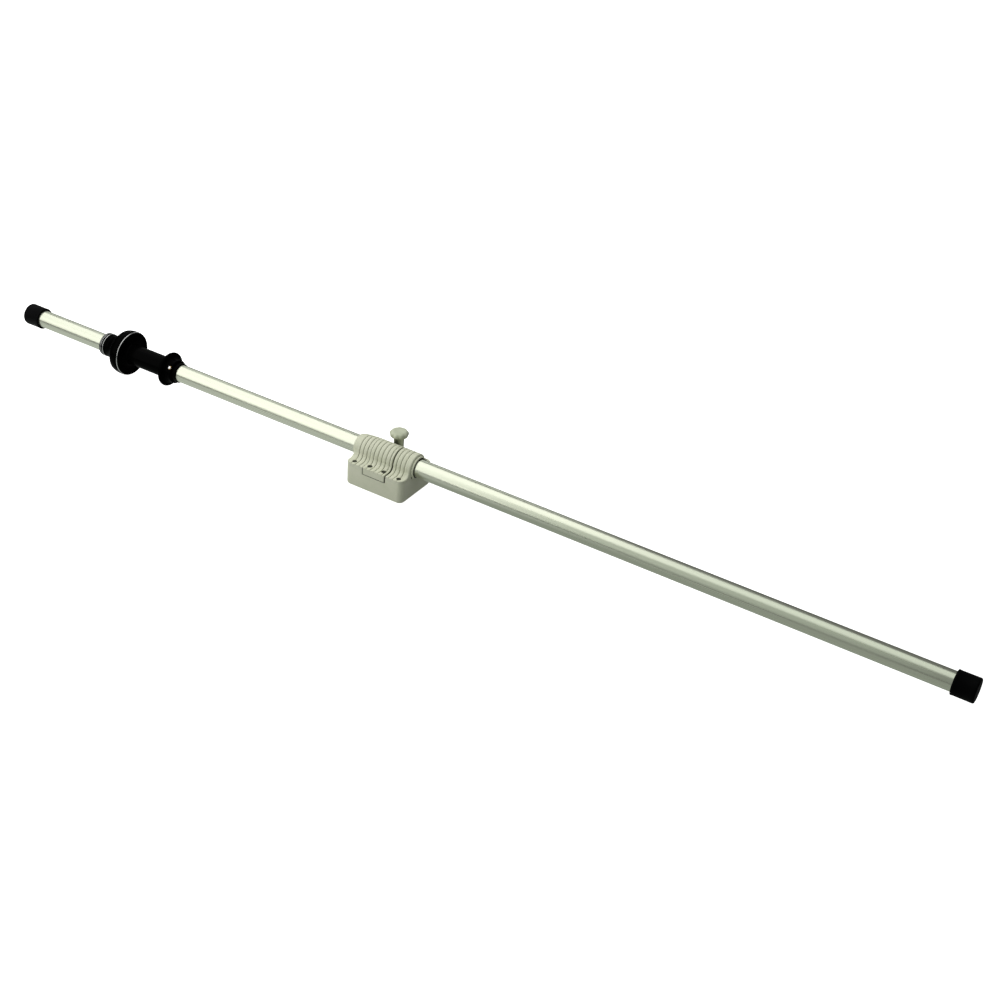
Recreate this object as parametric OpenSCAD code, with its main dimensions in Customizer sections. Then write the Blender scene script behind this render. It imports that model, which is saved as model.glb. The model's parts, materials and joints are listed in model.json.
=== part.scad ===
// Overhead microphone boom pole: one aluminium tube that slides and rolls in a stand-top
// carriage, with a thumbscrew clamp jaw, and a sliding hand grip near one end.
// Millimetres. +X runs along the pole, +Z is up, and the origin is the mouth of the stand
// socket, in the middle of the carriage's underside.

/* [Pole] */
// Outside diameter of the pole tube
pole_d = 25; // [24.8:0.1:25.2]
// Wall of the pole tube
pole_wall = 1.5; // [1:0.1:2.5]
// Reach of the tube to the left of the stand socket
pole_left = 643; // [640:1:700]
// Reach of the tube to the right of the stand socket
pole_right = 794; // [600:1:900]
// Height of the pole's axis above the carriage's underside
axis_h = 40.7; // [40.5:0.1:41.5]

/* [End caps] */
// Wall of the rubber end caps
cap_wall = 3; // [2:0.1:3.5]
// Length of a rubber end cap
cap_len = 28; // [20:0.5:35]
// Rounding of an end cap's outer edge
cap_round = 2.6; // [1:0.1:2.8]

/* [Carriage] */
// Length of the base block along the pole
block_l = 90; // [88:1:96]
// Width of the base block across the pole
block_w = 71; // [70:1:76]
// Height of the base block up to the seam under the caps
block_h = 29.9; // [29:0.1:30.4]
// Radius of the block's upright corners
block_corner = 8; // [6:0.5:8]
// Thickness of the feet of the caps and of the jaw
foot_t = 4.5; // [4.2:0.1:5]
// Outside radius of the arch over the pole
arch_r = 18.5; // [18:0.1:19]
// Radius of the hollow between the arch and the feet
hollow_r = 8; // [7:0.5:8.5]
// Depth of the grooves between the ribs
groove_depth = 1.1; // [0.6:0.1:1.3]
// Width of the grooves between the ribs
groove_w = 1.7; // [1.2:0.1:2]
// Distance from one groove to the next
rib_pitch = 6.3; // [6:0.1:6.4]

/* [Clamp] */
// Left edge of the clamp jaw
jaw_left = -17.7; // [-17.8:0.1:-17.5]
// Right edge of the clamp jaw
jaw_right = 16.8; // [16.6:0.1:17.2]
// Depth to which the jaw's front skirt hangs below the jaw's top
skirt_drop = 10.5; // [9:0.5:11]
// Distance of the thumbscrew to the right of the stand socket
thumb_x = -3; // [-3:0.5:0]
// Distance of the thumbscrew behind the pole's axis
thumb_y = 26; // [26:0.5:27.5]
// Diameter of the thumbscrew's head
thumb_d = 26; // [20:0.5:26]
// Thickness of the thumbscrew's head
thumb_t = 8; // [8:0.5:10]
// Height of the thumbscrew's top above the pole's axis
thumb_top = 26; // [23.5:0.5:26]
// Lobes round the thumbscrew's head
thumb_lobes = 9; // [6:1:10]

/* [Hand grip] */
// Left end of the hand grip
grip_left = -496; // [-500:0.5:-490]
// Radius of the grip's nose
nose_r = 16.5; // [16:0.1:17]
// Largest radius of the bell
bell_r = 32; // [30:0.5:34]
// Radius of the slim sleeve
sleeve_r = 14.7; // [14.4:0.1:14.8]
// Distance from the grip's left end to its end flange
flange_at = 117; // [111:1:120]
// Radius of the end flange
flange_r = 24.5; // [22:0.5:26]
// Radius of the hub beside the end flange
hub_r = 17; // [16.8:0.1:17.5]
// Angle of the lock screw above the horizontal, on the front
lock_angle = 41; // [30:1:60]

/* [Hidden] */
$fn = 96;
eps = 0.01;

cast_colour = "#b4b6a4";
tube_colour = "#c9cfbf";
dark_colour = "#202020";
steel_colour = "#c8c8c8";
brass_colour = "#c9a24a";

pole_r = pole_d / 2;
run_gap = 0.06;                     // radial running clearance between moving round faces
cap_r = pole_r + cap_wall;
cap_end = 3;

half_l = block_l / 2;
half_w = block_w / 2;
foot_top = block_h + foot_t;
hollow_z = foot_top + hollow_r;     // centre of the hollow's arc
hollow_y = sqrt(pow(arch_r + hollow_r, 2) - pow(hollow_z - axis_h, 2));
nose_reach = 2.7;                   // the arch stands out past the block's end face
nose_arch_r = arch_r - 2.6;
bush_r = 14;
bush_seat_r = bush_r + run_gap;
collar_r = 15.2;                    // collar that keeps each bush in place
collar_w = 3;
collar_gap = 0.15;
bush_in = 19.5;                     // inner and outer end of each bush
bush_out = half_l + 1.2;
bush_mid = (bush_in + bush_out) / 2;
left_cap_end = -18;
right_cap_start = 18.8;

cap_screw_x = [-34, 36];
cap_screw_y = half_w - 6;
jaw_screw_x = 11;
jaw_screw_y = -27.5;
jaw_seat_z = block_h + 2;           // seat of the jaw screws' heads
jaw_lift = 0.5;                     // gap under the jaw's feet
pin_r = 1.5;                        // rod on which the jaw rocks
pin_y = -21.5;
pin_z = block_h + jaw_lift / 2;
skirt_t = 2.4;
skirt_gap = 0.6;
skirt_start = jaw_left + 0.8;
jaw_pad_angle = 65;
shank_r = 1.5;

stud_r = 2.94;
stud_low = 12;
insert_low = 10;
spring_low = 22;
spring_pocket_r = 6.2;
washer_t = 1.2;
washer_low = foot_top + 0.1;
knob_low = washer_low + washer_t;
knob_top = axis_h + thumb_top;
knob_neck_r = 6.9;
knob_neck = knob_top - thumb_t - 6;   // where the knob's stem starts to widen

socket_r = 11;
socket_bore_r = 7.45;
socket_h = 15;
socket_flange_r = 14;
plate_t = 2;
plate_l = block_l - 12;
plate_w = block_w - 12;
plate_screw_x = 33;
plate_screw_y = 22;

// stations along the grip, from its left end
nose_len = 13.2;
flare_r = 22;                       // radius of the bell's hollow neck
rim_left = 33.7;
rim_right = 49.2;
rim_wire_r = 0.75;
sleeve_start = 20;
sleeve_end = flange_at + 3;
flange_t = 5.5;
hub_end = flange_at + flange_t + 11.3;
grip_end = hub_end + 7;
lip_r = 14;
hub_fillet = 4;
grip_bore_r = 13.3;
shell_gap_r = 13;
liner_r = grip_bore_r - 0.05;
liner_len = 22;
lock_at = flange_at + 13.3;
lock_seat = hub_r - 1.4;            // radius of the lock screw's seat
lock_head_r = 1.8;
lock_tip = 14.4;                    // radius where the screw meets its plunger

// ---- helpers ----

// Places children so that their z axis lies along the pole, starting at station x.
module on_pole(x) {
    translate([x, 0, axis_h]) rotate([0, 90, 0]) children();
}

// Places children so that their z axis points out of the grip along the lock screw.
module on_lock() {
    translate([grip_left + lock_at, 0, axis_h]) rotate([90 - lock_angle, 0, 0]) children();
}

// Places children round the jaw's rocking line, with their z axis along it, from station x.
module on_pin(x) {
    translate([x, pin_y, pin_z]) rotate([0, 90, 0]) children();
}

// Places children on the thumbscrew's axis, at height z.
module on_thumb(z) {
    translate([thumb_x, thumb_y, z]) children();
}

// Extrudes a Y-Z outline along X from x0 to x1.
module along_x(x0, x1) {
    translate([x0, 0, 0]) rotate([90, 0, 90]) linear_extrude(x1 - x0) children();
}

module ring(outer, inner, h) {
    difference() {
        cylinder(r = outer, h = h);
        translate([0, 0, -1]) cylinder(r = inner, h = h + 2);
    }
}

module rounded_rect(l, w, r) {
    square([l - 2 * r, w], center = true);
    square([l, w - 2 * r], center = true);
    for (x = [-1, 1], y = [-1, 1])
        translate([x * (l / 2 - r), y * (w / 2 - r)]) circle(r);
}

module block_outline() {
    rounded_rect(block_l, block_w, block_corner);
}

// Cross slots of a screw head, cut down from the top at z = 0.
module cross_slots(reach, depth) {
    for (a = [0, 90]) rotate([0, 0, a])
        translate([-reach, -0.4, -depth]) cube([2 * reach, 0.8, depth + 1]);
}

// Screw with a round head whose top is at z = 0, pointing down.
module pan_screw(head_r, head_h, length) {
    difference() {
        union() {
            translate([0, 0, -head_h]) cylinder(r = head_r, h = head_h);
            translate([0, 0, -length]) cylinder(r = shank_r, h = length - head_h + eps);
        }
        cross_slots(head_r * 0.65, head_h * 0.6);
    }
}

// Outline across the pole of a cap or the jaw, set in by a groove's depth where it is given.
module saddle_outline(inset = 0) {
    lean = (hollow_z - axis_h) / (arch_r + hollow_r);
    meet_z = axis_h + lean * (arch_r - inset);
    difference() {
        union() {
            translate([0, axis_h]) circle(arch_r - inset);
            translate([-half_w, block_h]) square([block_w, foot_t - inset]);
            difference() {
                translate([-hollow_y, block_h]) square([2 * hollow_y, meet_z - block_h]);
                for (side = [-1, 1])
                    translate([side * hollow_y, hollow_z]) circle(hollow_r + inset);
            }
        }
        translate([-half_w - 1, 0]) square([block_w + 2, block_h]);
    }
}

// Ribbed saddle from x0 to x1: full height between the grooves, lower in them.
module ribbed_saddle(x0, x1, grooves) {
    difference() {
        along_x(x0, x1) saddle_outline();
        for (x = grooves) along_x(x - groove_w / 2, x + groove_w / 2) difference() {
            translate([-half_w - 1, block_h]) square([block_w + 2, foot_t + 2 * arch_r]);
            saddle_outline(groove_depth);
        }
    }
}

// Upright-sided channel with a round roof, in which the pole or a bush lies.
module channel(x0, x1, r) {
    along_x(x0, x1) {
        translate([0, axis_h]) circle(r);
        translate([-r, block_h - 1]) square([2 * r, axis_h - block_h + 1]);
    }
}

function grooves_from(first, count) = [for (i = [0 : count - 1]) first + i * rib_pitch];

// ---- pole ----

module pole_tube() color(tube_colour)
    on_pole(-pole_left) ring(pole_r, pole_r - pole_wall, pole_left + pole_right);

// Rubber cap that is open at z = 0 and closed at z = cap_len.
module end_cap() {
    rotate_extrude() difference() {
        union() {
            square([cap_r, cap_len - cap_round]);
            square([cap_r - cap_round, cap_len]);
            translate([cap_r - cap_round, cap_len - cap_round]) circle(cap_round);
        }
        translate([0, -1]) square([pole_r, cap_len - cap_end + 1]);
    }
}

module left_end_cap() color(dark_colour)
    mirror([1, 0, 0]) on_pole(pole_left + cap_end - cap_len) end_cap();

module right_end_cap() color(dark_colour)
    on_pole(pole_right + cap_end - cap_len) end_cap();

// ---- carriage ----

module cap_screw_places(y_sides) {
    for (x = cap_screw_x, side = y_sides) translate([x, side * cap_screw_y, 0]) children();
}

module plate_screw_places() {
    for (x = [-1, 1], y = [-1, 1])
        translate([x * plate_screw_x, y * plate_screw_y, 0]) children();
}

// The block's lower edges are rounded where they meet the stand.
module block_body() {
    low_round = 3;
    intersection() {
        linear_extrude(block_h) block_outline();
        rotate([90, 0, 0]) translate([0, 0, -block_w]) linear_extrude(2 * block_w)
            translate([0, block_h]) rounded_rect(block_l, 2 * block_h, low_round);
        along_x(-block_l, block_l)
            translate([0, block_h]) rounded_rect(block_w, 2 * block_h, low_round);
    }
}

module base_block() color(cast_colour) difference() {
    block_body();
    on_pole(-half_l - 1) cylinder(r = bush_seat_r, h = block_l + 2);
    for (side = [-1, 1]) on_pole(side * bush_mid - collar_w / 2 - collar_gap)
        cylinder(r = collar_r + run_gap, h = collar_w + 2 * collar_gap);
    // recess behind the jaw's skirt
    translate([left_cap_end, -half_w - 1, foot_top - skirt_drop - skirt_gap])
        cube([right_cap_start - left_cap_end, skirt_t + skirt_gap + 1, block_h]);
    // screws
    cap_screw_places([-1, 1]) translate([0, 0, 12]) cylinder(r = shank_r, h = block_h);
    for (x = [-1, 1]) translate([x * jaw_screw_x, jaw_screw_y, 12])
        cylinder(r = shank_r, h = block_h);
    plate_screw_places() translate([0, 0, -1]) cylinder(r = shank_r, h = 11);
    // half-round seat of the jaw's pin
    on_pin(jaw_left + 2) cylinder(r = pin_r, h = jaw_right - jaw_left - 4);
    // thumbscrew's nut, its spring and its point
    on_thumb(insert_low - 2) cylinder(r = stud_r + 0.5, h = block_h);
    on_thumb(insert_low) cylinder(r = 5, h = block_h);
    on_thumb(spring_low) cylinder(r = spring_pocket_r, h = block_h);
    // stand socket and base plate
    translate([0, 0, -1]) cylinder(r = socket_r, h = socket_h + 1);
    translate([0, 0, -1]) cylinder(r = socket_flange_r, h = plate_t + 3.5);
    translate([0, 0, -1]) linear_extrude(plate_t + 1) rounded_rect(plate_l, plate_w, 4);
}

module base_plate() color(steel_colour) difference() {
    linear_extrude(plate_t) rounded_rect(plate_l, plate_w, 4);
    translate([0, 0, -1]) cylinder(r = socket_r, h = plate_t + 2);
    plate_screw_places() countersunk(10);
}

// Countersunk screw whose flat head faces down at z = 0.
module countersunk(length) {
    cylinder(r1 = 3, r2 = shank_r, h = 1.5);
    cylinder(r = shank_r, h = length);
}

module base_plate_screws() color(steel_colour)
    plate_screw_places() difference() {
        countersunk(9.5);
        mirror([0, 0, 1]) cross_slots(1.9, 0.9);
    }

module stand_socket() color(brass_colour) difference() {
    union() {
        cylinder(r = socket_r, h = socket_h);
        translate([0, 0, plate_t]) cylinder(r = socket_flange_r, h = 2.5);
    }
    translate([0, 0, -1]) cylinder(r = socket_bore_r, h = socket_h + 2);
}

// Curved pad in the block, under the middle of the pole.
module saddle_pad() color(dark_colour) intersection() {
    on_pole(-15) ring(bush_seat_r, pole_r + run_gap, 30);
    translate([-20, -half_w, 0]) cube([40, block_w, block_h]);
}

module bearing_cap(x0, x1, grooves, screw_x) {
    difference() {
        union() {
            intersection() {
                ribbed_saddle(max(x0, -half_l), min(x1, half_l), grooves);
                linear_extrude(4 * block_h) block_outline();
            }
            along_x(x0, x1) intersection() {
                translate([0, axis_h]) circle(nose_arch_r);
                translate([-half_w, block_h]) square([block_w, 2 * arch_r]);
            }
        }
        channel(x0 - 1, x1 + 1, bush_seat_r);
        mid = sign(x0 + x1) * bush_mid;
        channel(mid - collar_w / 2 - collar_gap, mid + collar_w / 2 + collar_gap,
            collar_r + run_gap);
        for (side = [-1, 1]) translate([screw_x, side * cap_screw_y, 0]) {
            cylinder(r = shank_r, h = 2 * block_h);
            translate([0, 0, foot_top - 2.4]) cylinder(r = 3, h = block_h);
        }
    }
}

module left_bearing_cap() color(cast_colour)
    bearing_cap(-half_l - nose_reach, left_cap_end, grooves_from(-35.6, 3), cap_screw_x[0]);

module right_bearing_cap() color(cast_colour)
    bearing_cap(right_cap_start, half_l + nose_reach, grooves_from(23.6, 3), cap_screw_x[1]);

module bearing_cap_screws() color(steel_colour)
    cap_screw_places([-1, 1]) translate([0, 0, foot_top - 0.6]) pan_screw(2.8, 1.8, 18);

// Bush that turns in the carriage and lets the pole slide through it.
module bush(mid) {
    length = bush_out - bush_in;
    on_pole(mid - length / 2) ring(bush_r, pole_r + run_gap, length);
    on_pole(mid - collar_w / 2) ring(collar_r, bush_r - 0.5, collar_w);
}

module left_bush() color(dark_colour) bush(-bush_mid);

module right_bush() color(dark_colour) bush(bush_mid);

// ---- clamp jaw and thumbscrew ----

module clamp_jaw() color(cast_colour) difference() {
    union() {
        difference() {
            ribbed_saddle(jaw_left, jaw_right, grooves_from(-12.2, 5));
            translate([-half_l, -half_w - 1, block_h - 1]) cube([block_l, block_w + 2, 1 + jaw_lift]);
        }
        translate([skirt_start, -half_w, foot_top - skirt_drop])
            cube([jaw_right - skirt_start, skirt_t, skirt_drop - groove_depth]);
    }
    channel(jaw_left - 1, jaw_right + 1, bush_r);
    on_pin(jaw_left + 1.5) cylinder(r = pin_r + run_gap, h = jaw_right - jaw_left - 3);
    for (x = [-1, 1]) translate([x * jaw_screw_x, jaw_screw_y, 0]) {
        cylinder(r = shank_r + 0.4, h = 2 * block_h);
        translate([0, 0, jaw_seat_z]) cylinder(r = 3.4, h = block_h);
    }
    on_thumb(0) cylinder(r = stud_r + 0.7, h = 2 * block_h);
    on_thumb(foot_top) cylinder(r = 7.6, h = block_h);
}

// Friction pad under the jaw's crown.
module jaw_pad() color(dark_colour) intersection() {
    on_pole(jaw_left + 2) ring(bush_r, pole_r + run_gap, jaw_right - jaw_left - 4);
    along_x(-20, 20) translate([0, axis_h]) {
        reach = 2 * arch_r;
        polygon([[0, 0], [reach * sin(jaw_pad_angle), reach * cos(jaw_pad_angle)],
            [reach, 2 * reach], [-reach, 2 * reach],
            [-reach * sin(jaw_pad_angle), reach * cos(jaw_pad_angle)]]);
    }
}

// Rod in the top of the block, under the jaw's front foot.
module jaw_pin() color(steel_colour) on_pin(jaw_left + 2)
    cylinder(r = pin_r, h = jaw_right - jaw_left - 4);

module jaw_screws() color(steel_colour)
    for (x = [-1, 1]) translate([x * jaw_screw_x, jaw_screw_y, jaw_seat_z + 2.2])
        pan_screw(2.8, 2, 17);

// Coil spring round the stud that lifts the jaw when the thumbscrew is slackened.
module jaw_spring() color(steel_colour) {
    coil_r = 4.9;
    wire_r = 0.55;
    turns = 4;
    steps = 14;
    sides = 8;
    height = block_h + jaw_lift - spring_low - 2 * wire_r - 0.1;
    rings = turns * steps;
    points = [for (i = [0 : rings], k = [0 : sides - 1])
        let (a = 360 * i / steps, b = 360 * k / sides, r = coil_r + wire_r * cos(b))
        [r * cos(a), r * sin(a), wire_r * sin(b) + height * i / rings]];
    walls = [for (i = [0 : rings - 1], k = [0 : sides - 1])
        let (n = (k + 1) % sides)
        [i * sides + k, (i + 1) * sides + k, (i + 1) * sides + n, i * sides + n]];
    ends = [[for (k = [0 : sides - 1]) k],
        [for (k = [sides - 1 : -1 : 0]) rings * sides + k]];
    on_thumb(spring_low + wire_r + 0.05) polyhedron(points, concat(walls, ends));
}

module thumbscrew_knob() color(cast_colour) on_thumb(0) difference() {
    union() {
        translate([0, 0, knob_low]) cylinder(r = knob_neck_r, h = knob_neck - knob_low);
        translate([0, 0, knob_neck]) cylinder(r1 = knob_neck_r, r2 = 9.5, h = 6);
        translate([0, 0, knob_top - thumb_t]) linear_extrude(thumb_t) difference() {
            circle(thumb_d / 2);
            for (i = [0 : thumb_lobes - 1]) rotate(360 * (i + 0.5) / thumb_lobes)
                translate([thumb_d / 2 + 1.2, 0]) circle(2.4);
        }
    }
    // dished top
    translate([0, 0, knob_top + 28]) sphere(30);
    cylinder(r = stud_r, h = knob_neck + 5);
}

module thumbscrew_stud() color(steel_colour) on_thumb(stud_low)
    cylinder(r = stud_r, h = knob_neck + 5 - stud_low);

module thumbscrew_washer() color(steel_colour) on_thumb(washer_low)
    ring(7, stud_r + run_gap, washer_t);

module thumbscrew_insert() color(brass_colour) on_thumb(insert_low)
    ring(5, stud_r + run_gap, spring_low - insert_low);

// ---- hand grip ----

// Half outline of the bell: x is the radius and y the distance from the grip's left end.
module bell_outline() {
    edge = 1.2;
    difference() {
        union() {
            translate([0, edge]) square([nose_r, nose_len - edge]);
            square([nose_r - edge, nose_len]);
            translate([nose_r - edge, edge]) circle(edge);
            translate([0, nose_len]) square([bell_r - 1.7, rim_left - nose_len]);
            polygon([[0, rim_left], [bell_r - 1.7, rim_left], [bell_r - 0.7, rim_left + 3],
                [bell_r, rim_left + 7.5], [bell_r, rim_right - 2.2], [bell_r - 0.6, rim_right - 2],
                [bell_r - 0.6, rim_right - 0.8], [bell_r - 1.4, rim_right], [0, rim_right]]);
        }
        translate([nose_r + flare_r, nose_len]) circle(flare_r);
    }
}

module grip_bell() color(dark_colour) on_pole(grip_left) difference() {
    rotate_extrude() bell_outline();
    // through bore for the pole, liner and sleeve
    translate([0, 0, -1]) cylinder(r = shell_gap_r, h = rim_right + 2);
    translate([0, 0, 2]) cylinder(r = grip_bore_r, h = rim_right);
    translate([0, 0, sleeve_start]) cylinder(r = sleeve_r, h = rim_right);
    // hollow behind the face plate
    rotate_extrude() difference() {
        translate([sleeve_r + 3, 24]) square([bell_r - 4.2 - sleeve_r - 3, rim_right - 28]);
        translate([nose_r + flare_r, nose_len]) circle(flare_r + 3);
    }
    // recess for the face plate, and the rings' grooves
    translate([0, 0, rim_right - 4.1]) cylinder(r = bell_r - 3, h = 10);
    rim_wire();
    for (band = NOSE_BANDS) translate([0, 0, band[0]]) rotate_extrude()
        translate([nose_r - band[1] * 0.4, 0]) circle(band[1]);
}

// Bright rings on the nose: station and wire radius.
NOSE_BANDS = [[2, 0.35], [3.9, 0.35], [7.2, 0.6]];

module nose_rings() color(steel_colour) on_pole(grip_left)
    for (band = NOSE_BANDS) translate([0, 0, band[0]]) rotate_extrude()
        translate([nose_r - band[1] * 0.4, 0]) circle(band[1]);

module rim_wire()
    translate([0, 0, rim_right - 1.3]) rotate_extrude()
        translate([bell_r - 1, 0]) circle(rim_wire_r);

module bell_rim_ring() color(steel_colour) on_pole(grip_left) rim_wire();

module bell_face_plate() color(dark_colour) on_pole(grip_left + rim_right - 4.1)
    ring(bell_r - 3, sleeve_r, 2);

module grip_sleeve() color(dark_colour) on_pole(grip_left + sleeve_start) difference() {
    length = sleeve_end - sleeve_start;
    cylinder(r = sleeve_r, h = length);
    translate([0, 0, -1]) cylinder(r = shell_gap_r, h = length + 2);
    translate([0, 0, -1]) cylinder(r = grip_bore_r, h = liner_len + 2 - sleeve_start + 1);
    translate([0, 0, length - liner_len + 2]) cylinder(r = grip_bore_r, h = liner_len);
}

module grip_hub() color(dark_colour) difference() {
    on_pole(grip_left) {
        rotate_extrude() {
            translate([0, flange_at]) square([flange_r - flange_t / 2, flange_t]);
            translate([flange_r - flange_t / 2, flange_at + flange_t / 2]) circle(flange_t / 2);
            // fillet between the flange and the hub
            translate([hub_r - eps, flange_at + flange_t - eps]) difference() {
                square(hub_fillet);
                translate([hub_fillet, hub_fillet]) circle(hub_fillet);
            }
        }
        translate([0, 0, flange_at]) cylinder(r = hub_r, h = hub_end - flange_at - 1);
        translate([0, 0, hub_end - 1]) cylinder(r1 = hub_r, r2 = hub_r - 1, h = 1);
        translate([0, 0, hub_end - 1]) cylinder(r = lip_r, h = grip_end - hub_end + 1);
    }
    on_pole(grip_left + flange_at - 1) {
        cylinder(r = shell_gap_r, h = grip_end);
        cylinder(r = sleeve_r, h = sleeve_end - flange_at + 1);
        cylinder(r = grip_bore_r, h = sleeve_end - flange_at + 3);
    }
    on_lock() {
        cylinder(r = shank_r, h = hub_r);
        translate([0, 0, shell_gap_r + 0.6]) cylinder(r = 2.6, h = hub_r);
        translate([0, 0, lock_seat]) cylinder(r = lock_head_r + 0.6, h = hub_r);
    }
}

module nose_liner() color("ivory") on_pole(grip_left + 2)
    ring(liner_r, pole_r + run_gap, liner_len - 0.2);

module hub_liner() color("ivory") on_pole(grip_left + sleeve_end + 2 - liner_len + 0.2)
    ring(liner_r, pole_r + run_gap, liner_len - 0.4);

module lock_insert() color(brass_colour) on_lock() translate([0, 0, shell_gap_r + 0.6])
    ring(2.6, shank_r, lock_seat - shell_gap_r - 0.6);

module lock_plunger() color(brass_colour) on_lock()
    translate([0, 0, pole_r + run_gap]) cylinder(r = shank_r - 0.08, h = lock_tip - pole_r - run_gap);

module lock_screw() color(steel_colour) on_lock() difference() {
    union() {
        translate([0, 0, lock_tip]) cylinder(r = shank_r - 0.05, h = lock_seat - lock_tip + 0.1);
        translate([0, 0, lock_seat + 0.05]) cylinder(r = lock_head_r, h = 1.9);
    }
    translate([-3, -0.35, lock_seat + 1.2]) cube([6, 0.7, 2]);
}

pole_tube();
left_end_cap();
right_end_cap();
base_block();
base_plate();
base_plate_screws();
stand_socket();
saddle_pad();
left_bearing_cap();
right_bearing_cap();
bearing_cap_screws();
left_bush();
right_bush();
clamp_jaw();
jaw_pad();
jaw_pin();
jaw_screws();
jaw_spring();
thumbscrew_knob();
thumbscrew_stud();
thumbscrew_washer();
thumbscrew_insert();
grip_bell();
bell_face_plate();
bell_rim_ring();
nose_rings();
grip_sleeve();
grip_hub();
nose_liner();
hub_liner();
lock_insert();
lock_plunger();
lock_screw();
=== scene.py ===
"""Looks of the boom pole: detailed casings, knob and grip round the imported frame, in metres."""
import json
import math

import bmesh
import bpy
from mathutils import Matrix, Vector


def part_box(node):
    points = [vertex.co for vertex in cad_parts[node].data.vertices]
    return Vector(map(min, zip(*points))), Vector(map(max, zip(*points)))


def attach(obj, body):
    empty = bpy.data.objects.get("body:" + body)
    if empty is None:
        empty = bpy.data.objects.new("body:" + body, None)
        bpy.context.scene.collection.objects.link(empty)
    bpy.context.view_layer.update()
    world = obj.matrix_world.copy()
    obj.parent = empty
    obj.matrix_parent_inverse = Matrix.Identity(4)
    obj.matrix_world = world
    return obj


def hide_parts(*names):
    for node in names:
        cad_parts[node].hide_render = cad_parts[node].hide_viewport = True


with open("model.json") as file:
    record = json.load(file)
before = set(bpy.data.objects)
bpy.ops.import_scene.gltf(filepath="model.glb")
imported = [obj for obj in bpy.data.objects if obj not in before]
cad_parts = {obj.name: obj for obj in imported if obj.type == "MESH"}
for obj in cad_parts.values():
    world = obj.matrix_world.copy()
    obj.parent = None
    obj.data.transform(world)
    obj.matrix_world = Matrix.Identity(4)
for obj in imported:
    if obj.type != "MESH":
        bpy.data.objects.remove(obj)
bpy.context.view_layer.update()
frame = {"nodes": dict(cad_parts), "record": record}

MM = 0.001
NODES = frame["nodes"]


# ---- sizes taken from the frame, in millimetres ----

def node_box(name):
    """Lowest and highest corner of a CAD node, in millimetres."""
    low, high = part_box(name)
    return low / MM, high / MM


TUBE_LOW, TUBE_HIGH = node_box("pole_tube")
AXIS_Z = (TUBE_LOW.z + TUBE_HIGH.z) / 2
POLE_R = (TUBE_HIGH.z - TUBE_LOW.z) / 2
BLOCK_HIGH = node_box("base_block")[1]
HALF_L, HALF_W, SEAM_Z = BLOCK_HIGH.x, BLOCK_HIGH.y, BLOCK_HIGH.z
LEFT_CAP_LOW, LEFT_CAP_HIGH = node_box("left_bearing_cap")
RIGHT_CAP_LOW, RIGHT_CAP_HIGH = node_box("right_bearing_cap")
JAW_LOW, JAW_HIGH = node_box("clamp_jaw")
CAP_SCREWS_LOW, CAP_SCREWS_HIGH = node_box("bearing_cap_screws")
JAW_SCREWS_LOW, JAW_SCREWS_HIGH = node_box("jaw_screws")
PIN_LOW, PIN_HIGH = node_box("jaw_pin")
KNOB_LOW, KNOB_HIGH = node_box("thumbscrew_knob")
STUD_LOW, STUD_HIGH = node_box("thumbscrew_stud")
STUD_X, STUD_Y = (STUD_LOW.x + STUD_HIGH.x) / 2, (STUD_LOW.y + STUD_HIGH.y) / 2
BELL_LOW, BELL_HIGH = node_box("grip_bell")
HUB_LOW, HUB_HIGH = node_box("grip_hub")
SLEEVE_LOW, SLEEVE_HIGH = node_box("grip_sleeve")

ARCH_R = JAW_HIGH.z - AXIS_Z
NOSE_ARCH_R = ARCH_R - 2.9
SEAT_R = 14.06                      # seat of the bushes
HEAD_R = 2.8                        # cap and jaw screws' heads
FOOT_TOP = CAP_SCREWS_HIGH.z + 0.6
HOLLOW_R = 8.0
HOLLOW_Z = FOOT_TOP + HOLLOW_R
HOLLOW_Y = math.sqrt((ARCH_R + HOLLOW_R) ** 2 - (HOLLOW_Z - AXIS_Z) ** 2)
BLOCK_CORNER = 8.0
RIB_PITCH = 6.3
GROOVE_DEPTH = 1.6
GROOVE_REACH = 1.6
SKIRT_T = 2.4
JAW_LIFT = 0.5                      # gap between the jaw's underside and the block
JAW_CHANNEL_R = 14.0
NOTCH_W = 0.8                       # slot that parts the skirt from the left cap
SKIRT_ROOM = 0.55                   # room under the skirt, for the jaw's swing
SKIRT_BACK = 0.6                    # room behind the skirt
CAP_WELL_R, CAP_WELL_DEPTH = 3.2, 2.4
JAW_WELL_R, JAW_HOLE_R = 3.4, 1.9
STUD_WELL_R, STUD_HOLE_R = 7.6, 3.64
PIN_SEAT_R, PIN_BORE_R = 1.5, 1.56
FLANGE_SEAT_R, FLANGE_SEAT_TOP = 14, 4.6
SOCKET_SEAT_R, SOCKET_SEAT_TOP = 11, 15
PAST = 2                            # how far a cutter runs past the face that it opens
SMOOTH_ANGLE = 35                   # degrees between faces that stay smooth
NOISE_ROUGHNESS = 0.55
GRIP_STEPS = 192


# ---- mesh helpers, all in millimetres ----

def arc(cx, cy, radius, start, end, steps):
    """Points on an arc from start to end, in degrees."""
    angles = [math.radians(start + (end - start) * i / steps) for i in range(steps + 1)]
    return [(cx + radius * math.cos(a), cy + radius * math.sin(a)) for a in angles]


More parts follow.
